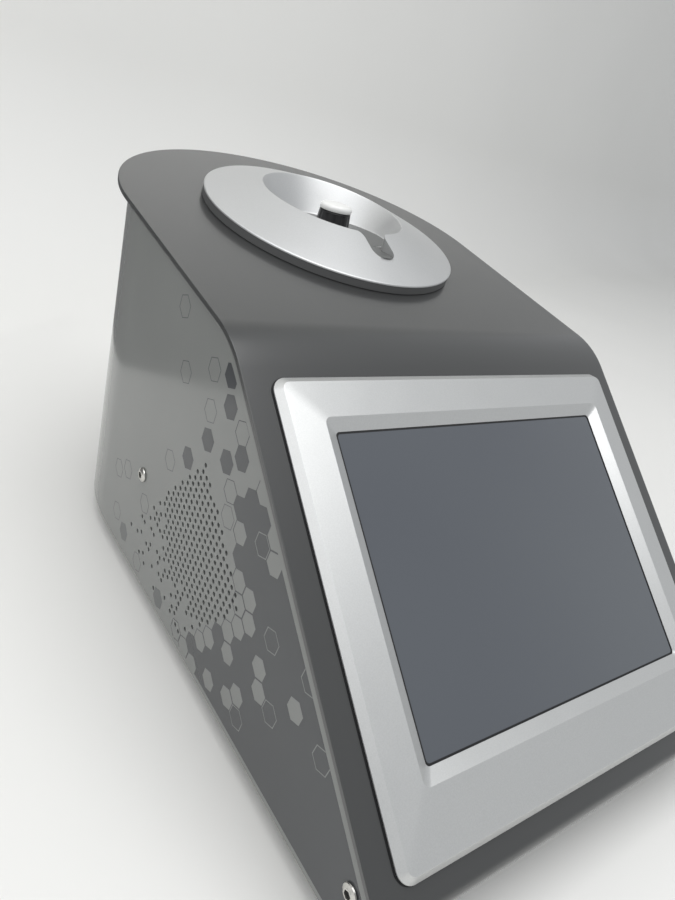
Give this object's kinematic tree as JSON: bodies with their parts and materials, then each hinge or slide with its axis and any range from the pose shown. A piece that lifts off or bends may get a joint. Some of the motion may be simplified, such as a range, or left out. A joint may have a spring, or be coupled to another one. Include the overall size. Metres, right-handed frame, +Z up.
{
  "type": "benchtop nmr spectrometer",
  "caption": "Benchtop NMR spectrometer: bent grey cover with a sloped touch screen, a dished silver sample port with a lift-out sample tube, a round back and perforated sides.",
  "frame": {"origin": "on the bench under the middle of the instrument's box", "axes": "+Z up; the screen faces -Y and the round back faces +Y; +X is the operator's right; the sample bore is vertical at x 0, y 108 mm"},
  "size_m": [0.301, 0.4916, 0.2688],
  "materials": {
    "cover_paint": "satin dark grey powder coat on bent sheet",
    "shell_paint": "semi-gloss light grey paint, printed toward the front",
    "bezel_metal": "fine satin silver",
    "disc_metal": "satin silver, finely turned",
    "touch_glass": "glossy dark grey-blue, screen off",
    "white_plastic": "smooth white",
    "black_plastic": "moulded black",
    "tube_glass": "clear borosilicate",
    "magnet_iron": "nickel-grey",
    "brass": "gold plated or bare brass",
    "foam": "closed-cell foam",
    "circuit_board": "green solder mask",
    "alloy_case": "plain sheet case",
    "zinc_sheet": "zinc plated sheet",
    "steel": "bright steel",
    "rubber": "black rubber"
  },
  "bodies": {
    "housing": {"base_tray": "zinc_sheet", "board_standoff_1": "brass", "board_standoff_2": "brass", "board_standoff_3": "brass", "board_standoff_4": "brass", "bore_liner": "white_plastic", "bracket_front_left": "zinc_sheet", "bracket_front_right": "zinc_sheet", "bracket_rear_left": "zinc_sheet", "bracket_rear_right": "zinc_sheet", "coaxial_socket_1": "brass", "coaxial_socket_2": "brass", "cover_post_left": "zinc_sheet", "cover_post_right": "zinc_sheet", "disc_clamp_ring": "zinc_sheet", "display_bezel": "bezel_metal", "display_controller": "circuit_board", "display_tray": "zinc_sheet", "fan_frame": "black_plastic", "foam_jacket": "foam", "foam_lid": "foam", "foot_front_left": "rubber", "foot_front_right": "rubber", "foot_rear_left": "rubber", "foot_rear_right": "rubber", "foot_screw_front_left": "steel", "foot_screw_front_right": "steel", "foot_screw_rear_left": "steel", "foot_screw_rear_right": "steel", "front_top_cover": "cover_paint", "lcd_panel": "zinc_sheet", "magnet_plate": "zinc_sheet", "magnet_post_front_left": "rubber", "magnet_post_front_right": "rubber", "magnet_post_rear_left": "rubber", "magnet_post_rear_right": "rubber", "magnet_ring": "magnet_iron", "magnet_yoke": "magnet_iron", "main_board": "circuit_board", "network_socket": "steel", "port_disc": "disc_metal", "power_inlet": "black_plastic", "power_supply": "alloy_case", "probe_body": "brass", "radio_unit": "alloy_case", "rear_panel": "zinc_sheet", "side_screw_front_left": "steel", "side_screw_front_right": "steel", "side_screw_rear_left": "steel", "side_screw_rear_right": "steel", "side_shell": "shell_paint", "switch_frame": "black_plastic", "touch_glass": "touch_glass", "usb_socket_1": "steel", "usb_socket_2": "steel"},
    "sample": {"sample_collar": "black_plastic", "sample_cap": "white_plastic", "sample_tube": "tube_glass"},
    "fan": {"fan_rotor": "black_plastic"},
    "rocker": {"power_rocker": "black_plastic"}
  },
  "joints": [
    {"name": "sample_lift", "type": "slide", "parent": "housing", "child": "sample", "axis": [0, 0, 1], "range_m": [0, 0.2]},
    {"name": "fan_spin", "type": "hinge", "parent": "housing", "child": "fan", "pos_m": [-0.1332, -0.045, 0.085], "axis": [1, 0, 0], "continuous": true},
    {"name": "power_switch", "type": "hinge", "parent": "housing", "child": "rocker", "pos_m": [-0.0005, 0.2163, 0.07], "axis": [1, 0, 0], "range_deg": [-24, 0]}
  ]
}
